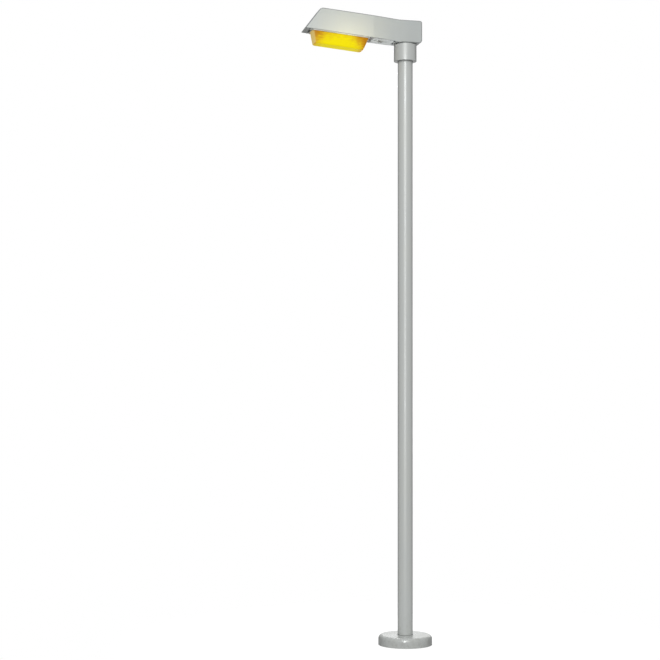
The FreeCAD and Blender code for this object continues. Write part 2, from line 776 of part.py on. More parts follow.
def make_gear_door():
    """Underside panel with an oval bead round the turn knob and a stiffening rim."""
    panel = gear_panel(0.6, 3.0, 1.5)
    rim = gear_panel(3.0, 8.0, 6.0).cut(gear_panel(3.0, 8.0, 8.0))
    rim = rim.cut(case_box(GEAR_S1 - 14, GEAR_S1 + 5, -150, 150, 3.0, 8.0))
    rim = rim.cut(case_box(GEAR_S0 - 5, GEAR_S0 + 12, -150, 150, 3.0, 8.0))
    bead = rounded_plate(KNOB_S - 46, KNOB_S + 46, 26, 25.5, -1.6, 0.6)
    bead = bead.cut(rounded_plate(KNOB_S - 42.5, KNOB_S + 42.5, 22.5, 22, -1.6, 0.6))
    body = panel.fuse(bead).fuse(rim)
    for y in (-40, 40):
        lug = cyl(3.6, 24, case_point(GEAR_PIVOT_S, GEAR_PIVOT_N, y - 12), SIDE)
        arm = case_box(GEAR_PIVOT_S, GEAR_S0 + 6, y - 12, y + 12, 0.6, 3.0)
        body = body.fuse(lug).fuse(arm)
        body = body.cut(cyl(1.8, 26, case_point(GEAR_PIVOT_S, GEAR_PIVOT_N, y - 13), SIDE))
    return body.cut(case_cyl(5.2, 0.0, 12.0, KNOB_S))


def make_gear_hinge_pins():
    pins = []
    for y in (-40, 40):
        pin = cyl(1.6, 44, case_point(GEAR_PIVOT_S, GEAR_PIVOT_N, y - 22), SIDE)
        for side in (-1, 1):
            centre = y + side * 17
            ear = cyl(4.0, 6, case_point(GEAR_PIVOT_S, GEAR_PIVOT_N, centre - 3), SIDE)
            drop = case_box(GEAR_S0 - 7.8, GEAR_PIVOT_S, centre - 3, centre + 3, 0.0, 5.4)
            strap = case_box(GEAR_PIVOT_S - 14, GEAR_PIVOT_S, centre - 3, centre + 3, WALL + 0.05, 5.4)
            pin = pin.fuse(ear).fuse(drop).fuse(strap)
        pins.append(pin)
    return group(pins)


def make_gear_catch():
    """Turn knob inside the bead, with a finger bar below and a long lock bar above."""
    knob = case_cyl(19.0, -2.4, 0.4, KNOB_S)
    grip = case_box(KNOB_S - 17, KNOB_S + 17, -3.5, 3.5, -7.0, -2.4)
    spindle = case_cyl(5.0, -2.4, 15.0, KNOB_S)
    bar = case_box(KNOB_S - 7, KNOB_S + 7, -78, 8, 11.0, 14.0)
    return knob.fuse(grip).fuse(spindle).fuse(bar)


# ---------------------------------------------------------------- bowl
def make_bowl_frame():
    outer = rounded_plate(BOWL_S0 - 5.5, BOWL_S1 + 8.5, BOWL_HALF + 12.5, 26, -4.5, 2.0)
    body = outer.cut(rounded_plate(BOWL_S0 - 1.5, BOWL_S1 + 1.5, BOWL_HALF + 1.5, BOWL_CORNER, -4.5, 2.0))
    for y in (-60, 60):
        lug = cyl(4.2, 22, case_point(BOWL_PIVOT_S, BOWL_PIVOT_N, y - 11), SIDE)
        arm = case_box(BOWL_S1 + 4, BOWL_PIVOT_S, y - 11, y + 11, -4.5, 2.0)
        body = body.fuse(lug).fuse(arm)
        body = body.cut(cyl(2.2, 24, case_point(BOWL_PIVOT_S, BOWL_PIVOT_N, y - 12), SIDE))
    return body


def edges_at_depth(solid, depth):
    """Edges that lie wholly at this depth below the rim plane."""
    origin = case_point(0, 0)
    found = []
    for edge in solid.Edges:
        if all(abs((v.Point - origin).dot(UPWARD) + depth) < 0.1 for v in edge.Vertexes):
            found.append(edge)
    return found


def make_bowl():
    """Drafted amber bowl with a flange that rests on its frame."""
    outer = tub(BOWL_S0, BOWL_S1, BOWL_HALF, BOWL_CORNER, BOWL_DRAFTS, 2.0, -BOWL_DEPTH)
    outer = outer.makeFillet(14.0, edges_at_depth(outer, BOWL_DEPTH))
    inner = tub(BOWL_S0 + BOWL_T, BOWL_S1 - BOWL_T, BOWL_HALF - BOWL_T, BOWL_CORNER - BOWL_T, BOWL_DRAFTS,
                2.0, -BOWL_DEPTH + BOWL_T)
    inner = inner.makeFillet(11.0, edges_at_depth(inner, BOWL_DEPTH - BOWL_T))
    flange = rounded_plate(BOWL_S0 - 4.5, BOWL_S1 + 6, BOWL_HALF + 6, BOWL_CORNER + 6, 2.0, 4.5)
    flange = flange.cut(rounded_plate(BOWL_S0 + BOWL_T, BOWL_S1 - BOWL_T, BOWL_HALF - BOWL_T,
                                      BOWL_CORNER - BOWL_T, 2.0, 4.5))
    return outer.cut(inner).fuse(flange)


def make_bowl_gasket():
    outer = rounded_plate(BOWL_S0 - 3.5, BOWL_S1 + 5, BOWL_HALF + 5, BOWL_CORNER + 5, 4.6, 11.3)
    return outer.cut(rounded_plate(BOWL_S0 + 4, BOWL_S1 - 4, BOWL_HALF - 4, BOWL_CORNER - 4, 4.6, 11.3))


def make_bowl_hinge_pins():
    """Pins under the front visor, each held by two ears."""
    pins = []
    for y in (-60, 60):
        pin = cyl(2.0, 42, case_point(BOWL_PIVOT_S, BOWL_PIVOT_N, y - 21), SIDE)
        for side in (-1, 1):
            centre = y + side * 16
            ear = cyl(4.4, 6, case_point(BOWL_PIVOT_S, BOWL_PIVOT_N, centre - 3), SIDE)
            drop = case_box(BOWL_PIVOT_S, BOWL_PIVOT_S + 7.8, centre - 3, centre + 3, -0.5, 5.6)
            strap = case_box(BOWL_PIVOT_S, BOWL_PIVOT_S + 20, centre - 3, centre + 3, WALL + 0.05, 5.6)
            pin = pin.fuse(ear).fuse(drop).fuse(strap)
        pins.append(pin)
    return group(pins)


def make_bowl_catch():
    """Turn button on the cross bar; a quarter turn puts its tongue under the bowl frame."""
    pad = case_cyl(7.5, -3.0, 0.4, BUTTON_S)
    reach = BOWL_S0 - BUTTON_S
    tongue = case_box(BUTTON_S - 6, BUTTON_S + 6, -6, reach, -9.0, -5.2)
    spindle = case_cyl(3.0, -9.0, 6.2, BUTTON_S)
    washer = case_cyl(5.4, 4.1, 6.2, BUTTON_S)
    return pad.fuse(tongue).fuse(spindle).fuse(washer)


# ---------------------------------------------------------------- build everything
NODES = {
    "base_flange": make_base_flange,
    "base_gussets": make_gussets,
    "base_cover": make_base_cover,
    "cover_clamp_ring": make_cover_ring,
    "cover_grub_screws": make_cover_screws,
    "cover_seal": make_cover_seal,
    "pole_tube": make_pole_tube,
    "door": make_door,
    "door_frame": make_door_frame,
    "door_gasket": make_door_gasket,
    "door_hinge_fixed": make_hinge_fixed,
    "door_hinge_leaves": make_hinge_door,
    "door_hinge_pins": make_hinge_pins,
    "door_lock_housing": make_lock_housing,
    "door_lock_core": make_lock_core,
    "equipment_board": make_equipment_board,
    "board_brackets": make_board_brackets,
    "fuse_base": make_fuse_base,
    "fuse_carrier": make_fuse_carrier,
    "fuse_link": make_fuse_link,
    "terminal_block": make_terminal_block,
    "terminal_screws": make_terminal_screws,
    "earth_stud": make_earth_stud,
    "supply_cable": make_supply_cable,
    "riser_cable": make_riser_cable,
    "collar": make_collar,
    "collar_set_screws": make_set_screws,
    "collar_neck_screws": make_collar_screws,
    "canopy": make_canopy,
    "mounting_bracket": make_mounting_bracket,
    "cross_bar": make_cross_bar,
    "seal_frame": make_seal_frame,
    "reflector": make_reflector,
    "lamp_holder": make_lamp_holder,
    "holder_bracket": make_holder_bracket,
    "lamp": make_lamp,
    "gear_tray": make_gear_tray,
    "tray_posts": make_tray_posts,
    "ballast": make_ballast,
    "capacitor": make_capacitor,
    "ignitor": make_ignitor,
    "head_terminal": make_head_terminal,
    "head_wiring": make_head_wiring,
    "gear_door": make_gear_door,
    "gear_door_hinges": make_gear_hinge_pins,
    "gear_door_catch": make_gear_catch,
    "bowl_frame": make_bowl_frame,
    "bowl": make_bowl,
    "bowl_gasket": make_bowl_gasket,
    "bowl_hinge_pins": make_bowl_hinge_pins,
    "bowl_catch": make_bowl_catch,
}

os.makedirs("parts", exist_ok=True)
for node_name, make in NODES.items():
    save(make(), node_name)
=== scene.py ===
import json
import math

import bmesh
import bpy
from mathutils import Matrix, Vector


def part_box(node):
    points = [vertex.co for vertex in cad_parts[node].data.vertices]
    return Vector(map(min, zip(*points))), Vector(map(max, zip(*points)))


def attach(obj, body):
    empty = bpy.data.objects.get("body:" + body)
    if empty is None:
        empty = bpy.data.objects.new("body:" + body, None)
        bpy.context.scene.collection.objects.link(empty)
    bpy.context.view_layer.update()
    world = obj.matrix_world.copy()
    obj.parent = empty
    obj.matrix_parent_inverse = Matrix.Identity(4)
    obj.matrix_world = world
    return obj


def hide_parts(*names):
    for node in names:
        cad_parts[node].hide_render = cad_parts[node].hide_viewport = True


# Street lamp post: looks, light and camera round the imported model. Metres, +Z up, the
# lantern points along -X and is tilted up a little. "Rim frame" below means: s forward along
# the lantern's rim, y sideways, n square to the rim.

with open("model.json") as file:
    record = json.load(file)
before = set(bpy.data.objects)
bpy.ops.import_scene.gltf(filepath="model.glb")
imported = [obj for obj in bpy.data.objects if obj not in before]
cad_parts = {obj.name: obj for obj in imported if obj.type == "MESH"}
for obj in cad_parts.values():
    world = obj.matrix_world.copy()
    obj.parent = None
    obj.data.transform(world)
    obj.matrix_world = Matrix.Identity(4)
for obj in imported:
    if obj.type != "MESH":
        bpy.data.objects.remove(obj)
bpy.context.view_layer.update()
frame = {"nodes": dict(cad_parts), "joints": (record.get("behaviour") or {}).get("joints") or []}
nodes = frame["nodes"]

MM = 0.001


# ---------------------------------------------------------------- places from the frame
def joint(name):
    return next(j for j in frame["joints"] if j["name"] == name)


UPWARD = -Vector(joint("hatch_knob_turn")["axis"])
FORWARD = Vector((-UPWARD.z, 0.0, UPWARD.x))
SIDE = Vector((0.0, 1.0, 0.0))


def span(node, axis):
    """Lowest and highest reach of a CAD node along an axis."""
    reach = [v.co.dot(axis) for v in nodes[node].data.vertices]
    return min(reach), max(reach)


def rim_point(s, y, n):
    return FORWARD * s + SIDE * y + UPWARD * n


# ---------------------------------------------------------------- node helpers
def new_material(name):
    material = bpy.data.materials.new(name)
    material.use_nodes = True
    material.node_tree.nodes.clear()
    return material, material.node_tree


def add(tree, kind, settings=None, **inputs):
    """Adds a shader node; inputs are values or sockets, with _ for a space in their names."""
    made = tree.nodes.new("ShaderNode" + kind)
    for key, value in (settings or {}).items():
        setattr(made, key, value)
    for key, value in inputs.items():
        socket = made.inputs[key.replace("_", " ")]
        if isinstance(value, bpy.types.NodeSocket):
            tree.links.new(value, socket)
        else:
            socket.default_value = value
    return made


def maths(tree, operation, a, b=0.0):
    made = add(tree, "Math", {"operation": operation})
    for socket, value in zip(made.inputs, (a, b)):
        if isinstance(value, bpy.types.NodeSocket):
            tree.links.new(value, socket)
        else:
            socket.default_value = value
    return made.outputs[0]


def object_coords(tree):
    return add(tree, "TexCoord").outputs["Object"]


def grain(tree, scale, detail=3.0, stretch=(1.0, 1.0, 1.0), rough=0.55):
    """Noise value in object space, stretched along the axes with small stretch numbers."""
    moved = add(tree, "Mapping", Vector=object_coords(tree), Scale=stretch)
    made = add(tree, "TexNoise", Vector=moved.outputs[0], Scale=scale, Detail=detail, Roughness=rough)
    return made.outputs["Fac"]


def between(tree, value, low, high, to_low=0.0, to_high=1.0):
    made = add(tree, "MapRange", {"interpolation_type": "SMOOTHSTEP"}, Value=value)
    for name, number in (("From Min", low), ("From Max", high), ("To Min", to_low), ("To Max", to_high)):
        made.inputs[name].default_value = number
    return made.outputs["Result"]


def mix(tree, factor, a, b, blend="MIX"):
    made = add(tree, "Mix", {"data_type": "RGBA", "blend_type": blend})
    for index, value in ((0, factor), (6, a), (7, b)):
        if isinstance(value, bpy.types.NodeSocket):
            tree.links.new(value, made.inputs[index])
        elif isinstance(value, (tuple, list)):
            made.inputs[index].default_value = (*value, 1.0)
        else:
            made.inputs[index].default_value = value
    return made.outputs[2]


def bump(tree, height, distance, strength=1.0, under=None):
    made = add(tree, "Bump", Height=height, Distance=distance, Strength=strength)
    if under is not None:
        tree.links.new(under, made.inputs["Normal"])
    return made.outputs["Normal"]


def edge_mask(tree, radius):
    """1 on sharp edges, 0 on flat faces."""
    soft = add(tree, "Bevel", {"samples": 4}, Radius=radius).outputs[0]
    sharp = add(tree, "NewGeometry").outputs["Normal"]
    turned = add(tree, "VectorMath", {"operation": "DOT_PRODUCT"})
    tree.links.new(soft, turned.inputs[0])
    tree.links.new(sharp, turned.inputs[1])
    return between(tree, turned.outputs["Value"], 0.995, 0.90)


def finish_material(tree, shader):
    tree.links.new(shader, add(tree, "OutputMaterial").inputs["Surface"])


def shade(value, factor):
    return tuple(min(1.0, c * factor) for c in value)


# ---------------------------------------------------------------- materials
WORN_EDGE = 1.6 * MM            # radius over which sharp edges show wear
GRIME = (0.24, 0.23, 0.20)
GRIME_TOP = 0.30                # height that splashed dirt reaches on the column
GRIME_LOW = 0.02


def painted_edge_shade(tree, rim_n, floor_z):
    """Painted shade on the case's rounded edges and a painted dark line along its lower drip edge, as a 0 to
    1 value.
    """
    across = add(tree, "SeparateXYZ", Vector=add(tree, "NewGeometry").outputs["Normal"]).outputs["Y"]
    across = maths(tree, "ABSOLUTE", across)
    rounded = maths(tree, "MULTIPLY", between(tree, across, 0.05, 0.25),
                    between(tree, across, 0.80, 0.97, 1.0, 0.0))
    place = object_coords(tree)
    above = add(tree, "VectorMath", {"operation": "DOT_PRODUCT"})
    tree.links.new(place, above.inputs[0])
    above.inputs[1].default_value = UPWARD
    height = add(tree, "SeparateXYZ", Vector=place).outputs["Z"]
    lowest = maths(tree, "MINIMUM", maths(tree, "SUBTRACT", above.outputs["Value"], rim_n),
                   maths(tree, "SUBTRACT", height, floor_z))
    drip = between(tree, lowest, 2 * MM, 8 * MM, 1.0, 0.0)
    return maths(tree, "MAXIMUM", rounded, drip)


def coated_metal(name, colour, roughness=0.36, orange_peel=1.0, foot_grime=False, cast=False, rim=0.75,
                 rim_from=0.40, edges=None):
    """Satin grey coating over metal: cloudy tone, fine speckle, peel, foot dirt and worn edges; painted shade
    on faces turned from the camera and, with edges, on the case's rounded and lower edges.
    """
    material, tree = new_material(name)
    cloud = grain(tree, 9.0, 4.0, (1.0, 1.0, 0.45))
    speckle = grain(tree, 620.0, 2.0)
    warm = (colour[0] * 1.005, colour[1], colour[2] * 0.985)
    tone = mix(tree, between(tree, cloud, 0.35, 0.66), colour, warm)
    tone = mix(tree, between(tree, speckle, 0.3, 0.7, 0.0, 0.16), tone, shade(colour, 0.74))
    streak = grain(tree, 26.0, 5.0, (1.0, 1.0, 0.06))
    tone = mix(tree, between(tree, streak, 0.56, 0.82, 0.0, 0.13), tone, shade(colour, 0.66))
    tone = mix(tree, maths(tree, "MULTIPLY", edge_mask(tree, WORN_EDGE), 0.3), tone, shade(colour, 1.18))
    if foot_grime:
        height = add(tree, "SeparateXYZ", Vector=object_coords(tree)).outputs["Z"]
        low = between(tree, height, GRIME_TOP, GRIME_LOW)
        blotch = between(tree, grain(tree, 30.0, 6.0), 0.42, 0.72)
        tone = mix(tree, maths(tree, "MULTIPLY", maths(tree, "MULTIPLY", low, blotch), 0.28), tone, GRIME)
    shine = between(tree, cloud, 0.3, 0.7, roughness - 0.05, roughness + 0.06)
    shine = maths(tree, "ADD", shine, maths(tree, "MULTIPLY", speckle, 0.06))
    peel = grain(tree, 330.0, 2.0, rough=0.4)
    normal = bump(tree, peel, 0.00012 * orange_peel, 0.5)
    if cast:
        pits = grain(tree, 1100.0, 3.0, rough=0.7)
        normal = bump(tree, pits, 0.00028, 0.45, normal)
    # painted shade: the coat darkens where its surface turns away from the camera, as shade under a light
    # near the camera
    turned_away = add(tree, "LayerWeight", Blend=0.5).outputs["Facing"]
    painted_rim_shade = between(tree, turned_away, rim_from, 0.85, 0.0, rim)
    # with foot_grime, the painted rim shade is kept off faces that point up
    if foot_grime:
        upright = add(tree, "SeparateXYZ", Vector=add(tree, "NewGeometry").outputs["Normal"]).outputs["Z"]
        painted_rim_shade = maths(tree, "MULTIPLY", painted_rim_shade, between(tree, upright, 0.5, 0.9, 1.0, 0.0))
    tone = mix(tree, painted_rim_shade, tone, shade(colour, 0.30))
    # painted shade along the case's rounded edges and its lower edge
    if edges:
        tone = mix(tree, maths(tree, "MULTIPLY", painted_edge_shade(tree, *edges), 0.62), tone, shade(colour, 0.34))
    body = add(tree, "BsdfPrincipled", Base_Color=tone, Roughness=shine, Metallic=0.12, Normal=normal)
    finish_material(tree, body.outputs[0])
    return material


def galvanised(name, colour):
    """Hot-dip zinc: patchwork of crystals with their own brightness and gloss."""
    material, tree = new_material(name)
    cells = add(tree, "TexVoronoi", Vector=object_coords(tree), Scale=120.0)
    value = add(tree, "SeparateColor", Color=cells.outputs["Color"]).outputs["Red"]
    tone = mix(tree, value, shade(colour, 0.80), shade(colour, 1.12))
    bloom = between(tree, grain(tree, 35.0, 5.0), 0.5, 0.8)
    tone = mix(tree, maths(tree, "MULTIPLY", bloom, 0.4), tone, (0.72, 0.73, 0.72))
    shine = between(tree, value, 0.0, 1.0, 0.34, 0.52)
    normal = bump(tree, grain(tree, 420.0, 3.0), 0.00015, 0.4)
    body = add(tree, "BsdfPrincipled", Base_Color=tone, Roughness=shine, Metallic=0.8, Normal=normal)
    finish_material(tree, body.outputs[0])
    return material


def plated(name, colour, roughness, brushed=(1.0, 1.0, 1.0), dirt=0.25):
    """Machined or plated metal with fine tool lines and a little dirt in noise patches."""
    material, tree = new_material(name)
    lines = grain(tree, 900.0, 2.0, brushed)
    cloud = grain(tree, 60.0, 4.0)
    tone = mix(tree, between(tree, cloud, 0.35, 0.7), colour, shade(colour, 0.82))
    tone = mix(tree, between(tree, cloud, 0.62, 0.8, 0.0, dirt), tone, (0.10, 0.09, 0.07))
    shine = between(tree, lines, 0.3, 0.7, roughness, roughness + 0.14)
    normal = bump(tree, lines, 0.00006, 0.5)
    body = add(tree, "BsdfPrincipled", Base_Color=tone, Roughness=shine, Metallic=1.0, Normal=normal)
    finish_material(tree, body.outputs[0])
    return material


def moulded(name, colour, roughness, texture=500.0, depth=0.0001, bloom=0.12):
    """Moulded plastic or rubber: fine spark texture, faint bloom and handling marks."""
    material, tree = new_material(name)
    fine = grain(tree, texture, 3.0)
    cloud = grain(tree, 45.0, 4.0)
    tone = mix(tree, between(tree, cloud, 0.4, 0.75, 0.0, bloom), colour, (0.5, 0.5, 0.48))
    tone = mix(tree, between(tree, fine, 0.4, 0.8, 0.0, 0.2), tone, shade(colour, 0.7))
    shine = between(tree, cloud, 0.3, 0.7, roughness - 0.06, roughness + 0.08)
    normal = bump(tree, fine, depth, 0.5)
    body = add(tree, "BsdfPrincipled", Base_Color=tone, Roughness=shine, Normal=normal)
    finish_material(tree, body.outputs[0])
    return material


def porcelain(name):
    material, tree = new_material(name)
    fleck = grain(tree, 260.0, 2.0)
    tone = mix(tree, between(tree, fleck, 0.66, 0.76, 0.0, 0.5), (0.84, 0.81, 0.74), (0.36, 0.31, 0.25))
    normal = bump(tree, grain(tree, 70.0, 3.0), 0.0003, 0.35)
    body = add(tree, "BsdfPrincipled", Base_Color=tone, Roughness=0.16, Normal=normal, Coat_Weight=0.6)
    finish_material(tree, body.outputs[0])
    return material


def laminate_board(name):
    """Phenolic board: paper fibre running along its height."""
    material, tree = new_material(name)
    fibre = grain(tree, 300.0, 4.0, (1.0, 1.0, 0.08))
    cloud = grain(tree, 14.0, 4.0)
    tone = mix(tree, between(tree, fibre, 0.3, 0.7), (0.20, 0.115, 0.05), (0.31, 0.19, 0.09))
    tone = mix(tree, between(tree, cloud, 0.45, 0.7, 0.0, 0.3), tone, (0.14, 0.08, 0.04))
    normal = bump(tree, fibre, 0.00010, 0.5)
    body = add(tree, "BsdfPrincipled", Base_Color=tone, Roughness=0.42, Normal=normal)
    finish_material(tree, body.outputs[0])
    return material


def bright_reflector(name):
    """Anodised bright aluminium with shallow hammered facets."""
    material, tree = new_material(name)
    facets = add(tree, "TexVoronoi", {"feature": "SMOOTH_F1"}, Vector=object_coords(tree), Scale=85.0)
    haze = grain(tree, 40.0, 4.0)
    tone = mix(tree, haze, (0.90, 0.90, 0.89), (0.78, 0.79, 0.80))
    normal = bump(tree, facets.outputs["Distance"], 0.0016, 0.5)
    shine = between(tree, haze, 0.3, 0.7, 0.12, 0.22)
    body = add(tree, "BsdfPrincipled", Base_Color=tone, Roughness=shine, Metallic=1.0, Normal=normal)
    finish_material(tree, body.outputs[0])
    return material


def amber_bowl(name, s_range, n_range):
    """Amber acrylic with the lamp's light painted on as emission: brightest beside the lamp, amber at the
    ends, straw-pale front wall.
    """
    material, tree = new_material(name)
    place = object_coords(tree)

    def along(axis):
        made = add(tree, "VectorMath", {"operation": "DOT_PRODUCT"})
        tree.links.new(place, made.inputs[0])
        made.inputs[1].default_value = axis
        return made.outputs["Value"]

    s, n = along(FORWARD), along(UPWARD)
    length, depth = s_range[1] - s_range[0], n_range[1] - n_range[0]
    lamp_s = s_range[0] + length * 0.48
    off_centre = maths(tree, "DIVIDE", maths(tree, "SUBTRACT", s, lamp_s), length * 0.5)
    sag = maths(tree, "DIVIDE", maths(tree, "SUBTRACT", n_range[1], n), depth)
    spread = maths(tree, "MULTIPLY", off_centre, off_centre)
    fall = between(tree, off_centre, -0.2, 0.2, 1.35, 0.95)
    glow = maths(tree, "SUBTRACT", 1.0, maths(tree, "MULTIPLY", spread, fall))
    glow = maths(tree, "ADD", glow, maths(tree, "MULTIPLY", maths(tree, "SUBTRACT", sag, 0.55), 0.55))

    # painted glow streaks run along the rim, as the prisms do
    rows = add(tree, "CombineXYZ", X=maths(tree, "MULTIPLY", s, 0.06), Y=0.0, Z=n)
    streak = add(tree, "TexNoise", Vector=rows.outputs[0], Scale=240.0, Detail=4.0, Roughness=0.6)
    glow = maths(tree, "ADD", glow, between(tree, streak.outputs["Fac"], 0.3, 0.7, -0.20, 0.16))
    patch = grain(tree, 34.0, 3.0)
    glow = maths(tree, "ADD", glow, between(tree, patch, 0.35, 0.65, -0.07, 0.07))

    ramp = add(tree, "ValToRGB", Fac=glow)
    stops = ramp.color_ramp.elements
    stops[0].position, stops[0].color = 0.05, (0.52, 0.22, 0.008, 1.0)
    stops[1].position, stops[1].color = 0.95, (0.93, 0.78, 0.004, 1.0)
    for position, colour in ((0.35, (0.66, 0.36, 0.014)), (0.62, (0.82, 0.60, 0.012))):
        stop = stops.new(position)
        stop.color = (*colour, 1.0)

    facing = add(tree, "TexCoord").outputs["Normal"]
    ahead = add(tree, "VectorMath", {"operation": "DOT_PRODUCT"})
    tree.links.new(facing, ahead.inputs[0])
    ahead.inputs[1].default_value = FORWARD
    pale = between(tree, ahead.outputs["Value"], 0.35, 0.85, 0.0, 0.9)
    tone = mix(tree, pale, ramp.outputs["Color"], (0.74, 0.56, 0.19))

    # painted glow: the lit colour is given as emission in place of the lamp's light through the acrylic
    body = add(tree, "BsdfPrincipled", Base_Color=mix(tree, 1.0, tone, (0.42, 0.42, 0.42), "MULTIPLY"),
               Roughness=0.28, Emission_Color=tone, Emission_Strength=0.60)
    body.inputs["Specular IOR Level"].default_value = 0.05
    finish_material(tree, body.outputs[0])
    return material


def lamp_glass(name):
    material, tree = new_material(name)
    frost = grain(tree, 500.0, 2.0)
    body = add(tree, "BsdfPrincipled", Base_Color=(0.98, 0.93, 0.80, 1.0), Roughness=0.22,
               Emission_Color=(1.0, 0.72, 0.22, 1.0), Emission_Strength=1.1,
               Normal=bump(tree, frost, 0.00008, 0.4))
    body.inputs["Transmission Weight"].default_value = 0.35
    body.inputs["Coat Weight"].default_value = 0.5
    finish_material(tree, body.outputs[0])
    return material


def laminations(name, colour):
    """Varnished steel sheets seen edge-on, stacked sideways."""
    material, tree = new_material(name)
    sheets = add(tree, "TexWave", {"bands_direction": "Y"}, Vector=object_coords(tree), Scale=420.0,
                 Distortion=0.2)
    varnish = grain(tree, 55.0, 4.0)
    tone = mix(tree, sheets.outputs["Fac"], shade(colour, 0.6), shade(colour, 1.5))
    tone = mix(tree, between(tree, varnish, 0.5, 0.75, 0.0, 0.5), tone, (0.10, 0.045, 0.02))
    normal = bump(tree, sheets.outputs["Fac"], 0.00025, 0.6)
    body = add(tree, "BsdfPrincipled", Base_Color=tone, Roughness=0.34, Metallic=0.45, Normal=normal)
    finish_material(tree, body.outputs[0])
    return material


POLE_GREY = (0.54, 0.562, 0.550)
HEAD_GREY = (0.445, 0.472, 0.470)
BLACK = (0.022, 0.022, 0.024)

n_low, n_high = span("bowl", UPWARD)
finishes = {
    "column_coat": coated_metal("column_coat", POLE_GREY, 0.34, 0.8, foot_grime=True),
    "foot_coat": coated_metal("foot_coat", shade(POLE_GREY, 0.95), 0.27, 0.9, foot_grime=True, rim=0.60,
                              rim_from=0.12),
    # the case gets painted shade along its rounded and lower edges
    "case_coat": coated_metal("case_coat", HEAD_GREY, 0.44, 1.5,
                              edges=(span("canopy", UPWARD)[0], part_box("canopy")[0].z)),
    "panel_coat": coated_metal("panel_coat", HEAD_GREY, 0.44, 1.5, rim=0.0),
    "casting": coated_metal("casting", shade(POLE_GREY, 0.96), 0.38, 1.3, cast=True),
    "galvanised_steel": galvanised("galvanised_steel", (0.50, 0.52, 0.53)),
    "zinc": plated("zinc", (0.60, 0.62, 0.64), 0.24),
    "brass": plated("brass", (0.72, 0.52, 0.22), 0.26),
    "capacitor_can": plated("capacitor_can", (0.74, 0.75, 0.76), 0.28, (0.05, 1.0, 1.0)),
    "rubber": moulded("rubber", BLACK, 0.62, 380.0, 0.0002),
    "cable_sheath": moulded("cable_sheath", shade(BLACK, 1.3), 0.46, 260.0, 0.00015),
    "black_plastic": moulded("black_plastic", shade(BLACK, 1.5), 0.36),
    "white_plastic": moulded("white_plastic", (0.74, 0.73, 0.68), 0.34),
    "board": laminate_board("board"),
    "porcelain": porcelain("porcelain"),
    "reflector_bright": bright_reflector("reflector_bright"),
    "lamp_glass": lamp_glass("lamp_glass"),
    "laminations": laminations("laminations", (0.13, 0.12, 0.12)),
    "amber_bowl": amber_bowl("amber_bowl", span("bowl", FORWARD), (n_low, n_high)),
}

NODE_FINISH = {
    "column_coat": ("pole_tube", "door", "door_hinge_fixed", "door_hinge_leaves"),
    "foot_coat": ("base_cover",),
    "case_coat": ("canopy",),
    "panel_coat": ("gear_door", "cross_bar", "bowl_catch", "bowl_hinge_pins"),
    "casting": ("collar", "cover_clamp_ring", "mounting_bracket", "bowl_frame", "gear_door_catch"),
    "galvanised_steel": ("base_flange", "base_gussets", "door_frame", "board_brackets"),
    "zinc": ("cover_grub_screws", "door_hinge_pins", "door_lock_housing", "collar_set_screws",
             "collar_neck_screws", "seal_frame", "holder_bracket", "gear_tray",
             "tray_posts", "gear_door_hinges"),
    "brass": ("door_lock_core", "terminal_screws", "earth_stud"),
    "capacitor_can": ("capacitor",),
    "rubber": ("cover_seal", "door_gasket", "bowl_gasket"),
    "cable_sheath": ("supply_cable", "riser_cable", "head_wiring"),
    "black_plastic": ("fuse_base",),
    "white_plastic": ("fuse_carrier", "terminal_block", "ignitor", "head_terminal"),
    "board": ("equipment_board",),
    "porcelain": ("fuse_link", "lamp_holder"),
    "reflector_bright": ("reflector",),
    "lamp_glass": ("lamp",),
    "laminations": ("ballast",),
    "amber_bowl": ("bowl",),
}
for finish_name, members in NODE_FINISH.items():
    for member in members:
        slots = nodes[member].data.materials
        slots.clear()
        slots.append(finishes[finish_name])


# ---------------------------------------------------------------- mesh helpers
LATHE_TIP = 0.01 * MM           # radius given to a profile's end on the axis
LATHE_MERGE = 0.03 * MM         # closes those ends


def piece(name, mesh, body, finish, replaced=()):
    """Turns a bmesh into a piece that moves with a CAD body and stands for CAD nodes."""
    bmesh.ops.recalc_face_normals(mesh, faces=mesh.faces)
    data = bpy.data.meshes.new(name)
    mesh.to_mesh(data)
    mesh.free()
    for polygon in data.polygons:
        polygon.use_smooth = True
    made = bpy.data.objects.new(name, data)
    bpy.context.scene.collection.objects.link(made)
    data.materials.append(finishes[finish])
    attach(made, body)
    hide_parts(*replaced)
    return made


def ring_faces(mesh, lower, upper):
    count = len(lower)
    for i in range(count):
        j = (i + 1) % count
        mesh.faces.new((lower[i], lower[j], upper[j], upper[i]))


def loop_piece(name, rings, body, finish, replaced=()):
    """Closed tube from rings of points, the last joined to the first."""
    mesh = bmesh.new()
    made = [[mesh.verts.new(point) for point in ring] for ring in rings]
    for lower, upper in zip(made, made[1:] + made[:1]):
        ring_faces(mesh, lower, upper)
    piece(name, mesh, body, finish, replaced)


def lathe(name, profile, origin, axis, body, finish, replaced=(), turns=64):
    """Revolves (radius, height) pairs about an axis; a profile that ends at radius 0 closes."""
    axis = axis.normalized()
    across = axis.orthogonal().normalized()
    other = axis.cross(across)
    mesh = bmesh.new()
    rings = []
    for radius, height in profile:
        ring = []
        for k in range(turns):
            angle = 2 * math.pi * k / turns
            side = across * math.cos(angle) + other * math.sin(angle)
            ring.append(mesh.verts.new(origin + axis * height + side * max(radius, LATHE_TIP)))
        rings.append(ring)
    for lower, upper in zip(rings, rings[1:]):
        ring_faces(mesh, lower, upper)
    bmesh.ops.remove_doubles(mesh, verts=mesh.verts, dist=LATHE_MERGE)
    piece(name, mesh, body, finish, replaced)


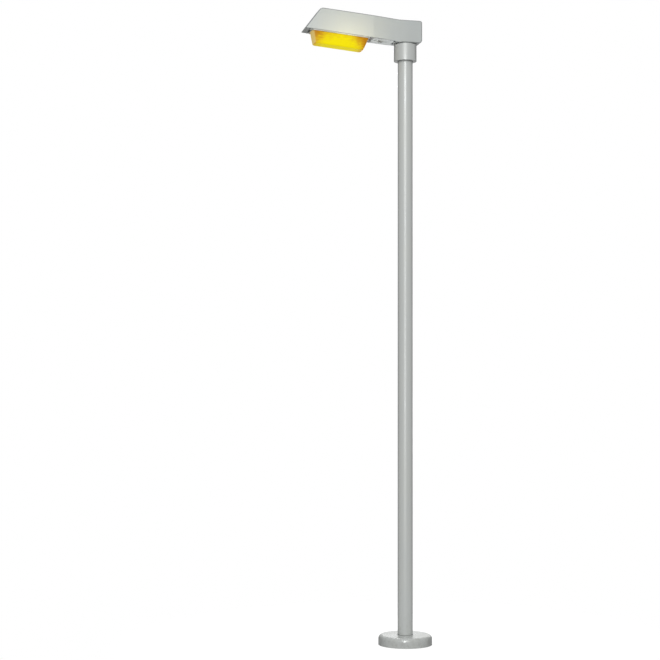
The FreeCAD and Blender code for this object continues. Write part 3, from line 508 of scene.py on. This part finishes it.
def smooth_path(points, steps=14):
    """Curve through the points, without corners."""
    padded = [points[0] * 2 - points[1]] + points + [points[-1] * 2 - points[-2]]
    path = []
    for a, b, c, d in zip(padded, padded[1:], padded[2:], padded[3:]):
        for k in range(steps):
            t = k / steps
            path.append((b * 2 + (c - a) * t + (a * 2 - b * 5 + c * 4 - d) * t ** 2
                         + (b * 3 - a - c * 3 + d) * t ** 3) / 2)
    return path + [points[-1]]


def cable(name, points, radius, body, replaced=(), sides=20):
    """Round sheathed cable along a smooth path, with closed ends."""
    path = smooth_path([Vector(p) * MM for p in points])
    mesh = bmesh.new()
    across = (path[1] - path[0]).orthogonal().normalized()
    rings = []
    for i, place in enumerate(path):
        ahead = (path[min(i + 1, len(path) - 1)] - path[max(i - 1, 0)]).normalized()
        across = (across - ahead * across.dot(ahead)).normalized()
        other = ahead.cross(across)
        ring = []
        for k in range(sides):
            angle = 2 * math.pi * k / sides
            side = across * math.cos(angle) + other * math.sin(angle)
            ring.append(mesh.verts.new(place + side * radius))
        rings.append(ring)
    for lower, upper in zip(rings, rings[1:]):
        ring_faces(mesh, lower, upper)
    mesh.faces.new(rings[0][::-1])
    mesh.faces.new(rings[-1])
    piece(name, mesh, body, "cable_sheath", replaced)


# ---------------------------------------------------------------- the amber bowl
DRAFT_REAR = math.radians(18.0)
DRAFT_FRONT = math.radians(16.5)
DRAFT_SIDE = math.radians(6.0)
LOW_CORNER_SHARE = 0.8          # corner radius at the bottom against the one at the top
BOWL_CORNER = 34 * MM
BOWL_FOOT_R = 14 * MM           # round edge between the walls and the bottom
FLANGE_REAR = 4.5 * MM
FLANGE_FRONT = 6 * MM
FLANGE_SIDE = 6 * MM
FLANGE_T = 2.5 * MM
BOWL_WALL = 2.6 * MM
PRISM_PITCH = 6.5 * MM
PRISM_DEPTH = 0.9 * MM
FLUTE_PITCH = 6.0 * MM
WALL_STEP = 9 * MM              # length of the mesh's steps along the straight sides
CORNER_STEPS = 9
FLANGE_ROUND = 0.8 * MM
RIB_START = 6 * MM              # the ribs grow to full depth over this drop
FOOT_STEPS = 7
BOTTOM_STEPS = 22
SPINE_SHARE = 0.62              # how far the bottom's middle line stays off the ends, in half widths
MESH_MERGE = 0.02 * MM


def outline_counts(s0, s1, half, radius, straight):
    """Steps along an end and along a side of a rounded rectangle."""
    return (max(2, int(2 * (half - radius) / (FLUTE_PITCH / 4))),
            max(2, int((s1 - s0 - 2 * radius) / straight)))


def outline_points(s0, s1, half, radius, straight, arc_steps, like=None):
    """Rounded rectangle as (s, y, normal s, normal y); the ends get finer steps than the sides."""
    points = []
    a, b, c = s0 + radius, s1 - radius, half - radius
    end_steps, side_steps = like or outline_counts(s0, s1, half, radius, straight)

    def run(start, stop, normal, steps):
        for k in range(steps):
            t = k / steps
            points.append((start[0] + (stop[0] - start[0]) * t, start[1] + (stop[1] - start[1]) * t, *normal))

    def corner(centre_s, centre_y, first):
        for k in range(arc_steps):
            angle = math.radians(first + 90.0 * k / arc_steps)
            ns, ny = math.cos(angle), math.sin(angle)
            points.append((centre_s + radius * ns, centre_y + radius * ny, ns, ny))

    run((s1, -c), (s1, c), (1, 0), end_steps)
    corner(b, c, 0)
    run((b, half), (a, half), (0, 1), side_steps)
    corner(a, c, 90)
    run((s0, c), (s0, -c), (-1, 0), end_steps)
    corner(a, -c, 180)
    run((a, -half), (b, -half), (0, -1), side_steps)
    corner(b, -c, 270)
    return points


def triangle_wave(x):
    return 1.0 - 2.0 * abs((x % 1.0) - 0.5)


def make_bowl():
    """Drafted bowl with lengthways prisms on its sides and bottom and upright flutes at its ends."""
    s0, s1 = span("bowl", FORWARD)
    low, high = span("bowl", UPWARD)
    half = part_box("bowl")[1].y - FLANGE_SIDE
    s0, s1 = s0 + FLANGE_REAR, s1 - FLANGE_FRONT
    top = high - FLANGE_T
    outline = outline_points(s0, s1, half, BOWL_CORNER, WALL_STEP, CORNER_STEPS)
    mid_s = (s0 + s1) / 2
    mesh = bmesh.new()

    def rib(s, y, ns, ny, drop):
        """How far the skin stands in from its smooth form."""
        flute = triangle_wave(y / FLUTE_PITCH) * abs(ns) ** 4
        prism = triangle_wave(drop / PRISM_PITCH) * abs(ny) ** 4
        return PRISM_DEPTH * (flute + prism)

    depth = top - low
    rear, front, side = [depth * math.tan(d) for d in (DRAFT_REAR, DRAFT_FRONT, DRAFT_SIDE)]
    low_outline = outline_points(s0 + rear, s1 - front, half - side, BOWL_CORNER * LOW_CORNER_SHARE,
                                 WALL_STEP, CORNER_STEPS,
                                 like=outline_counts(s0, s1, half, BOWL_CORNER, WALL_STEP))

    def draft_at(ns, ny):
        return (DRAFT_FRONT if ns > 0 else DRAFT_REAR) * ns * ns + DRAFT_SIDE * ny * ny

    def wall_at(i, drop):
        """Smooth wall point: where outline point i stands at this drop below the top."""
        (s, y, ns, ny), (s_low, y_low, _, _) = outline[i], low_outline[i]
        f = drop / depth
        return s + (s_low - s) * f, y + (y_low - y) * f, ns, ny

    def ring_of(place):
        return [mesh.verts.new(rim_point(*place(i))) for i in range(len(outline))]

    def flange_point(out, n):
        return lambda i: (outline[i][0] + outline[i][2] * out, outline[i][1] + outline[i][3] * out, n)

    def drop_end(ns, ny):
        return depth - BOWL_FOOT_R * (1 - math.sin(draft_at(ns, ny)))

    def wall_point(share):
        def place(i):
            _, _, ns, ny = outline[i]
            drop = drop_end(ns, ny) * share
            s, y, ns, ny = wall_at(i, drop)
            pull = min(1.0, drop / RIB_START) * rib(s, y, ns, ny, drop)
            return s - ns * pull, y - ny * pull, top - drop
        return place

    def foot_point(share):
        def place(i):
            _, _, ns, ny = outline[i]
            draft, drop = draft_at(ns, ny), drop_end(ns, ny)
            s, y, ns, ny = wall_at(i, drop)
            angle = draft + (math.pi / 2 - draft) * share
            pull = BOWL_FOOT_R * (math.cos(draft) - math.cos(angle)) + (1 - share) * rib(s, y, ns, ny, drop)
            return s - ns * pull, y - ny * pull, low + BOWL_FOOT_R * (1 - math.sin(angle))
        return place

    rings = [ring_of(flange_point(out, n)) for out, n in (
        (FLANGE_SIDE - FLANGE_ROUND, high), (FLANGE_SIDE, high - FLANGE_ROUND), (FLANGE_SIDE, top),
        (FLANGE_ROUND, top))]
    steps = int(depth / (PRISM_PITCH / 4))
    rings += [ring_of(wall_point(k / steps)) for k in range(1, steps + 1)]
    rings += [ring_of(foot_point(k / FOOT_STEPS)) for k in range(1, FOOT_STEPS + 1)]

    # the bottom: rings that close towards the middle line, with lengthways prisms
    edge = [v.co.copy() for v in rings[-1]]
    spine = half * SPINE_SHARE
    for k in range(1, BOTTOM_STEPS + 1):
        t = k / BOTTOM_STEPS
        ring = []
        for point in edge:
            s, y = point.dot(FORWARD), point.y
            hold = max(-1.0, min(1.0, (s - mid_s) / ((s1 - s0) / 2 - spine)))
            s_new = (s * (1 - t)) + (mid_s + hold * ((s1 - s0) / 2 - spine)) * t
            y_new = y * (1 - t)
            lift = PRISM_DEPTH * triangle_wave(y_new / PRISM_PITCH) * min(1.0, t * 6)
            ring.append(mesh.verts.new(rim_point(s_new, y_new, low + lift)))
        rings.append(ring)
    for lower, upper in zip(rings, rings[1:]):
        ring_faces(mesh, lower, upper)
    bmesh.ops.remove_doubles(mesh, verts=mesh.verts, dist=MESH_MERGE)
    bmesh.ops.dissolve_degenerate(mesh, edges=mesh.edges, dist=MESH_MERGE)
    made = piece("amber_bowl", mesh, "bowl_unit", "amber_bowl", ("bowl",))
    wall = made.modifiers.new("wall", "SOLIDIFY")
    wall.thickness = BOWL_WALL
    wall.offset = -1.0


make_bowl()


# ---------------------------------------------------------------- seals, cables and the lamp
SEAL_CORNER = 35 * MM
BOWL_SEAL_W = 8.6 * MM
DOOR_STEP_R = 51.5 * MM         # radius of the door frame's step, where the seal stands
DOOR_SEAL_W = 5.0 * MM
DOOR_SEAL_CORNER = 12 * MM
SEAL_STEP = 12 * MM
SLEEVE_T = 2.1 * MM
LAMP_CAP_R = 13 * MM
LAMP_CAP_L = 39 * MM
THREAD_TURNS = 5
THREAD_DEPTH = 0.9 * MM
TURN_STEPS = 8
SUPPLY_R = 8 * MM
RISER_R = 5 * MM
INLET_R = 4.5 * MM
LAMP_LEAD_R = 3 * MM


def bulb_profile(width, height, steps=18):
    """Hollow-bulb seal in section: flat foot, waist and round bulb, as (outward, up) pairs."""
    points = []
    for k in range(steps):
        angle = 2 * math.pi * k / steps
        up = 0.5 - 0.5 * math.cos(angle)
        waist = 1.0 - 0.30 * math.exp(-((up - 0.30) / 0.12) ** 2)
        points.append((0.5 * width * math.copysign(abs(math.sin(angle)) ** 0.45, math.sin(angle)) * waist,
                       height * up))
    return points


def make_bowl_gasket():
    s0, s1 = span("bowl_gasket", FORWARD)
    low, high = span("bowl_gasket", UPWARD)
    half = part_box("bowl_gasket")[1].y
    width = BOWL_SEAL_W
    middle = outline_points(s0 + width / 2, s1 - width / 2, half - width / 2, SEAL_CORNER, SEAL_STEP,
                            CORNER_STEPS)
    rings = []
    for s, y, ns, ny in middle:
        rings.append([rim_point(s + ns * out, y + ny * out, low + up)
                      for out, up in bulb_profile(width, high - low)])
    loop_piece("bowl_seal", rings, "bowl_unit", "rubber", ("bowl_gasket",))


def make_door_gasket():
    """Ribbed strip on the door frame's step, bent round with the tube."""
    low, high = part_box("door_gasket")
    inner_r, outer_r = DOOR_STEP_R, high.y
    width = DOOR_SEAL_W
    outline = outline_points(low.z + width / 2, high.z - width / 2, high.x - width / 2, DOOR_SEAL_CORNER,
                             SEAL_STEP, 8)
    section = [(-1.0, 0.0), (1.0, 0.0), (1.0, 0.72), (0.72, 1.0), (0.44, 0.72), (0.14, 0.72), (0.0, 1.0),
               (-0.14, 0.72), (-0.44, 0.72), (-0.72, 1.0), (-1.0, 0.72)]
    rings = []
    for z, x, nz, nx in outline:
        ring = []
        for out, up in section:
            across, radius = x + nx * out * width / 2, inner_r + (outer_r - inner_r) * up
            ring.append(Vector((across, math.sqrt(radius ** 2 - across ** 2), z + nz * out * width / 2)))
        rings.append(ring)
    loop_piece("door_seal", rings, "post", "rubber", ("door_gasket",))


def make_cover_seal():
    """Turned rubber sleeve with two lips that wipe the column."""
    low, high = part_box("cover_seal")
    outer = high.x
    inner = outer - SLEEVE_T
    tall = high.z - low.z
    profile = [(inner + 0.9 * MM, 0.0), (outer, 0.0), (outer, tall * 0.9), (outer - 0.5 * MM, tall),
               (inner, tall), (inner + 0.7 * MM, tall * 0.72), (inner + 0.7 * MM, tall * 0.55),
               (inner, tall * 0.42), (inner + 0.9 * MM, tall * 0.2), (inner + 0.9 * MM, 0.0)]
    lathe("cover_sleeve", profile, Vector((0, 0, low.z)), Vector((0, 0, 1)), "foot_cover",
          "rubber", ("cover_seal",), turns=96)


def make_lamp():
    """Tubular discharge lamp: rolled thread on the cap, clear tube and domed end."""
    start, stop = span("lamp", FORWARD)
    low_n, high_n = span("lamp", UPWARD)
    glass_r = (high_n - low_n) / 2
    cap_r, cap_l = LAMP_CAP_R, LAMP_CAP_L
    origin = rim_point(start, 0.0, (low_n + high_n) / 2)
    thread = [(0.0, 0.0), (6 * MM, 0.0), (cap_r - 3 * MM, 2.5 * MM)]
    for k in range(THREAD_TURNS * TURN_STEPS + 1):
        rise = k / (THREAD_TURNS * TURN_STEPS)
        hollow = 0.5 + 0.5 * math.cos(2 * math.pi * rise * THREAD_TURNS)
        thread.append((cap_r - THREAD_DEPTH * hollow, (5 + 30 * rise) * MM))
    thread.append((cap_r, cap_l))
    lathe("lamp_cap", thread, origin, FORWARD, "lamp_bulb", "brass")
    tube = [(cap_r - 0.3 * MM, cap_l - 0.5 * MM), (cap_r + 1 * MM, cap_l + 4 * MM)]
    for k in range(1, 9):
        swell = 0.5 - 0.5 * math.cos(math.pi * k / 8)
        tube.append((cap_r + (glass_r - cap_r) * swell, cap_l + (4 + 15 * k / 8) * MM))
    straight = stop - start - glass_r
    tube += [(glass_r * math.cos(math.pi / 2 * k / 12), straight + glass_r * math.sin(math.pi / 2 * k / 12))
             for k in range(13)]
    lathe("lamp_tube", tube, origin, FORWARD, "lamp_bulb", "lamp_glass", ("lamp",))


def make_cables():
    """Cables run to the same ends as the CAD bars, without their sharp bends; waypoints in mm."""
    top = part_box("riser_cable")[1].z / MM
    cable("supply_lead", [(0, 0, 0), (0, 0, 150), (0, 2, 300), (0, 24, 420), (0, 25, 500), (0, 6, 549)],
          SUPPLY_R, "post", ("supply_cable",))
    cable("riser_lead", [(32, 2, 602), (43, 1, 660), (43, -13, 880), (20, -8, 1010), (0, 0, 1140),
                         (0, 0, top - 600), (0, 0, top)], RISER_R, "post", ("riser_cable",))
    cable("inlet_lead", [(0, 0, 4577.5), (0, 0, 4623), (-60, -34, 4643), (-101.2, -52, 4668.4)],
          INLET_R, "luminaire", ("head_wiring",))
    cable("lamp_lead", [(-229.1, -50, 4685.7), (-253.8, -44, 4680.2), (-272.7, -36, 4682.1)],
          LAMP_LEAD_R, "luminaire")


make_bowl_gasket()
make_door_gasket()
make_cover_seal()
make_lamp()
make_cables()


# ---------------------------------------------------------------- stage, light and camera
FLOOR_R = 9.0
FADE_START = 0.5                # the floor fades to white between these distances from the post
FADE_END = 2.4
SPILL_COLOUR = (1.0, 0.86, 0.42)    # colour of the lamp's spill on the case
VIEW_YAW = math.radians(11.5)      # the camera looks a little from the lantern's front
VIEW_PITCH = math.radians(1.494)
VIEW_ROLL = math.radians(0.0757)
CAMERA_PLACE = Vector((-2.9254, -11.4925, 2.0836))
LENS = 84.436
SENSOR = 36.0


def floor_material():
    """Pale floor that fades into the white surroundings away from the post."""
    material, tree = new_material("floor_pale")
    place = object_coords(tree)
    flat = add(tree, "VectorMath", {"operation": "MULTIPLY"})
    tree.links.new(place, flat.inputs[0])
    flat.inputs[1].default_value = (1, 1, 0)
    radius = add(tree, "VectorMath", {"operation": "LENGTH"})
    tree.links.new(flat.outputs[0], radius.inputs[0])
    fade = between(tree, radius.outputs["Value"], FADE_START, FADE_END)
    cloud = between(tree, grain(tree, 5.0, 4.0), 0.3, 0.7, 0.50, 0.53)
    tone = add(tree, "CombineColor", Red=cloud, Green=cloud, Blue=cloud)
    matt = add(tree, "BsdfDiffuse", Color=tone.outputs[0])
    seen = add(tree, "LightPath").outputs["Is Camera Ray"]
    lit = add(tree, "Emission", Color=(1, 1, 1, 1), Strength=between(tree, seen, 0.0, 1.0, 0.05, 0.66))
    both = tree.nodes.new("ShaderNodeAddShader")
    tree.links.new(matt.outputs[0], both.inputs[0])
    tree.links.new(lit.outputs[0], both.inputs[1])
    clear = add(tree, "BsdfTransparent")
    blended = add(tree, "MixShader", Fac=fade)
    tree.links.new(both.outputs[0], blended.inputs[1])
    tree.links.new(clear.outputs[0], blended.inputs[2])
    finish_material(tree, blended.outputs[0])
    return material


def make_floor():
    mesh = bmesh.new()
    bmesh.ops.create_circle(mesh, cap_ends=True, radius=FLOOR_R, segments=96)
    data = bpy.data.meshes.new("floor")
    mesh.to_mesh(data)
    mesh.free()
    made = bpy.data.objects.new("floor", data)
    data.materials.append(floor_material())
    bpy.context.scene.collection.objects.link(made)


def make_world():
    """White to the camera; a soft grey room for light and reflections."""
    world = bpy.data.worlds.new("studio")
    bpy.context.scene.world = world
    world.use_nodes = True
    tree = world.node_tree
    tree.nodes.clear()
    height = add(tree, "SeparateXYZ", Vector=add(tree, "TexCoord").outputs["Generated"]).outputs["Z"]
    room = between(tree, height, -0.4, 0.9, 0.34, 0.60)
    tone = add(tree, "CombineColor", Red=room, Green=room, Blue=room)
    grey = add(tree, "Background", Color=tone.outputs[0], Strength=1.0)
    white = add(tree, "Background", Color=(1, 1, 1, 1), Strength=1.0)
    seen = add(tree, "LightPath").outputs["Is Camera Ray"]
    blended = add(tree, "MixShader", Fac=seen)
    tree.links.new(grey.outputs[0], blended.inputs[1])
    tree.links.new(white.outputs[0], blended.inputs[2])
    tree.links.new(blended.outputs[0], add(tree, "OutputWorld").inputs["Surface"])


def soft_light(name, place, target, width, height, power, colour=(1, 1, 1)):
    """Area lamp aimed at a target; sizes in metres, power in watts; unseen by the camera."""
    light = bpy.data.lights.new(name, "AREA")
    light.shape = "RECTANGLE"
    light.size = width
    light.size_y = height
    light.energy = power
    light.color = colour
    made = bpy.data.objects.new(name, light)
    made.location = place
    made.rotation_euler = (Vector(target) - Vector(place)).to_track_quat("-Z", "Y").to_euler()
    made.visible_camera = False
    bpy.context.scene.collection.objects.link(made)
    return made


def make_lights():
    """Soft studio lights; the last three before the rear fill light only the lantern's case."""
    soft_light("key", (-1.9, -7.0, 6.4), (-0.2, 0, 3.9), 1.1, 1.1, 210)
    soft_light("strip", (-2.4, -8.8, 3.2), (0, 0, 3.0), 0.35, 4.0, 140)
    soft_light("overhead", (0.3, 1.6, 7.4), (0, 0, 0), 3.0, 3.0, 28)
    soft_light("behind", (0.9, 4.5, 5.5), (0, 0, 0.2), 1.0, 1.0, 52)
    soft_light("foot_front", (-1.3, -4.2, 1.3), (0, 0, 0.05), 0.5, 0.5, 15)
    below = soft_light("below", (-0.3, -0.15, 2.9), (-0.3, -0.10, 4.6), 0.6, 0.6, 19)
    case_only = bpy.data.collections.new("lit_case")
    for name in ("canopy", "gear_door", "bowl_frame"):
        case_only.objects.link(nodes[name])
    left = soft_light("left_soft", (-3.2, -1.3, 4.9), (-0.4, 0, 4.7), 0.7, 0.7, 14.5)
    glow = soft_light("lamp_glow", (-0.46, -0.30, 4.57), (-0.43, -0.09, 4.66), 0.26, 0.05, 0.44,
                      SPILL_COLOUR)
    for light in (below, left, glow):
        light.light_linking.receiver_collection = case_only
    soft_light("rear_fill", (2.5, 6.0, 3.2), (0, 0, 2.6), 3.5, 4.5, 60)


def make_camera():
    data = bpy.data.cameras.new("camera")
    data.lens = LENS
    data.sensor_width = SENSOR
    made = bpy.data.objects.new("camera", data)
    made.location = CAMERA_PLACE
    made.rotation_euler = (math.pi / 2 + VIEW_PITCH, 0.0, -VIEW_YAW)
    made.rotation_euler.rotate_axis("Z", VIEW_ROLL)
    bpy.context.scene.collection.objects.link(made)
    bpy.context.scene.camera = made


make_floor()
make_world()
make_lights()
make_camera()
bpy.context.scene.view_settings.view_transform = "Standard"
